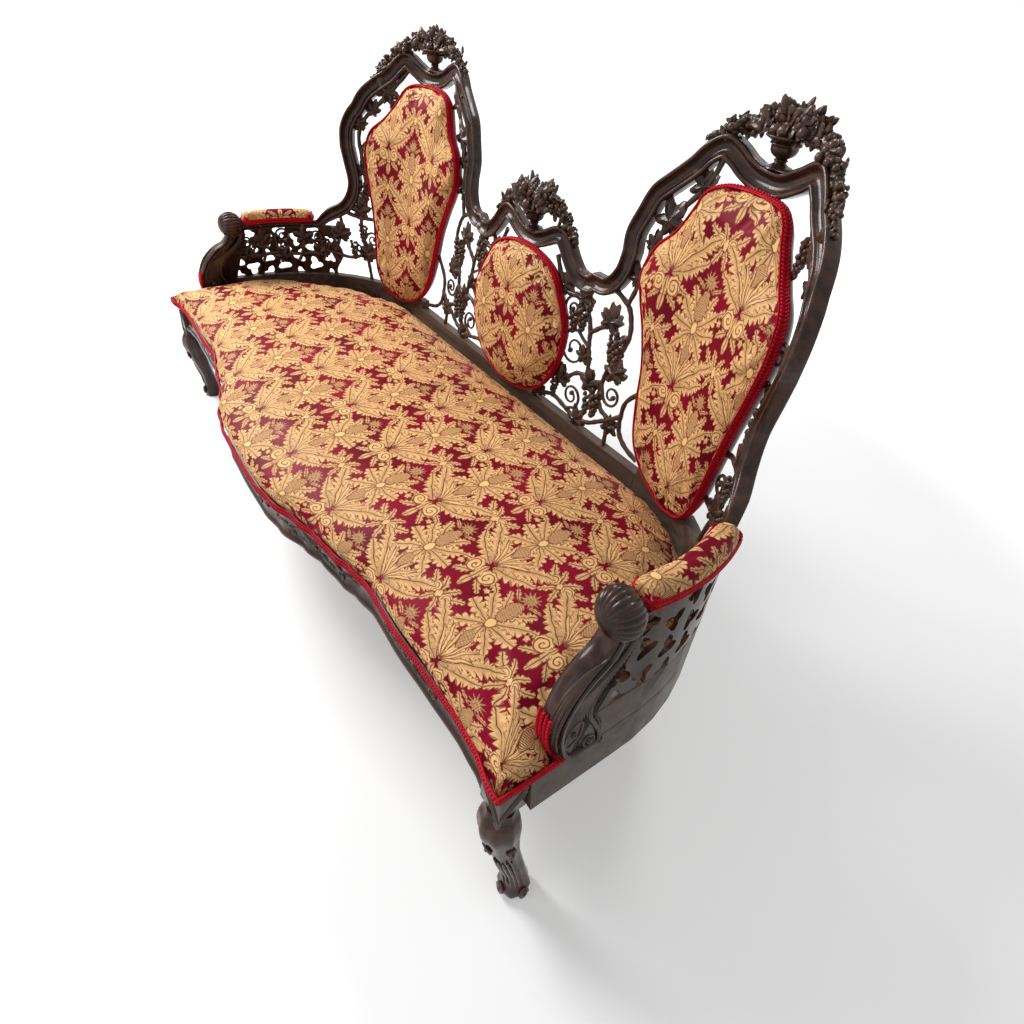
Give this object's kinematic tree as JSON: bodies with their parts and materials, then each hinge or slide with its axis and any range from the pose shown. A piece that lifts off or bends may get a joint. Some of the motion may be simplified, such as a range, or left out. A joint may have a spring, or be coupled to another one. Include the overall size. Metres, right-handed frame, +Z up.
{
  "type": "settee",
  "caption": "Triple-back carved wood settee with upholstered medallions, openwork vine panels, padded arms, serpentine seat and cabriole front legs.",
  "frame": {"origin": "on the floor, under the middle of the bounding box", "axes": "+X along the seat towards the sitter's left-hand arm, +Y towards the back, +Z up"},
  "size_m": [1.9368, 0.824, 1.1022],
  "materials": {
    "rosewood": "dark polished rosewood, glossy, carved",
    "damask": "gold on crimson damask, slight sheen",
    "inner_wood": "plain unfinished wood",
    "webbing": "woven jute, matt",
    "spring_steel": "dull drawn wire"
  },
  "bodies": {
    "root": {"crest_rail_centre": "rosewood", "dip_rail_left": "rosewood", "dip_rail_right": "rosewood", "crest_rail_left": "rosewood", "crest_rail_right": "rosewood", "outer_stile_left": "rosewood", "outer_stile_right": "rosewood", "arm_rail_left": "rosewood", "arm_rail_right": "rosewood", "medallion_board_centre": "rosewood", "medallion_board_left": "rosewood", "medallion_board_right": "rosewood", "vine_inner_left": "rosewood", "vine_inner_right": "rosewood", "vine_outer_left": "rosewood", "vine_outer_right": "rosewood", "vine_arm_left": "rosewood", "vine_arm_right": "rosewood", "urn_centre": "rosewood", "urn_left": "rosewood", "urn_right": "rosewood", "bouquet_centre": "rosewood", "bouquet_left": "rosewood", "bouquet_right": "rosewood", "arm_support_left": "rosewood", "arm_support_right": "rosewood", "arm_board_left": "rosewood", "arm_board_right": "rosewood", "base_rail": "rosewood", "seat_rail_back": "rosewood", "seat_rail_left": "rosewood", "seat_rail_right": "rosewood", "seat_rail_front": "rosewood", "front_leg_left": "rosewood", "front_leg_right": "rosewood", "rear_leg_left": "rosewood", "rear_leg_right": "rosewood", "medallion_pad_centre": "damask", "medallion_pad_left": "damask", "medallion_pad_right": "damask", "arm_pad_left": "damask", "arm_pad_right": "damask", "seat_cushion": "damask", "front_corner_block_left": "inner_wood", "front_corner_block_right": "inner_wood", "rear_corner_block_left": "inner_wood", "rear_corner_block_right": "inner_wood", "webbing": "webbing", "seat_deck": "webbing", "coil_spring_1": "spring_steel", "coil_spring_2": "spring_steel", "coil_spring_3": "spring_steel", "coil_spring_4": "spring_steel", "coil_spring_5": "spring_steel", "coil_spring_6": "spring_steel"}
  },
  "joints": []
}
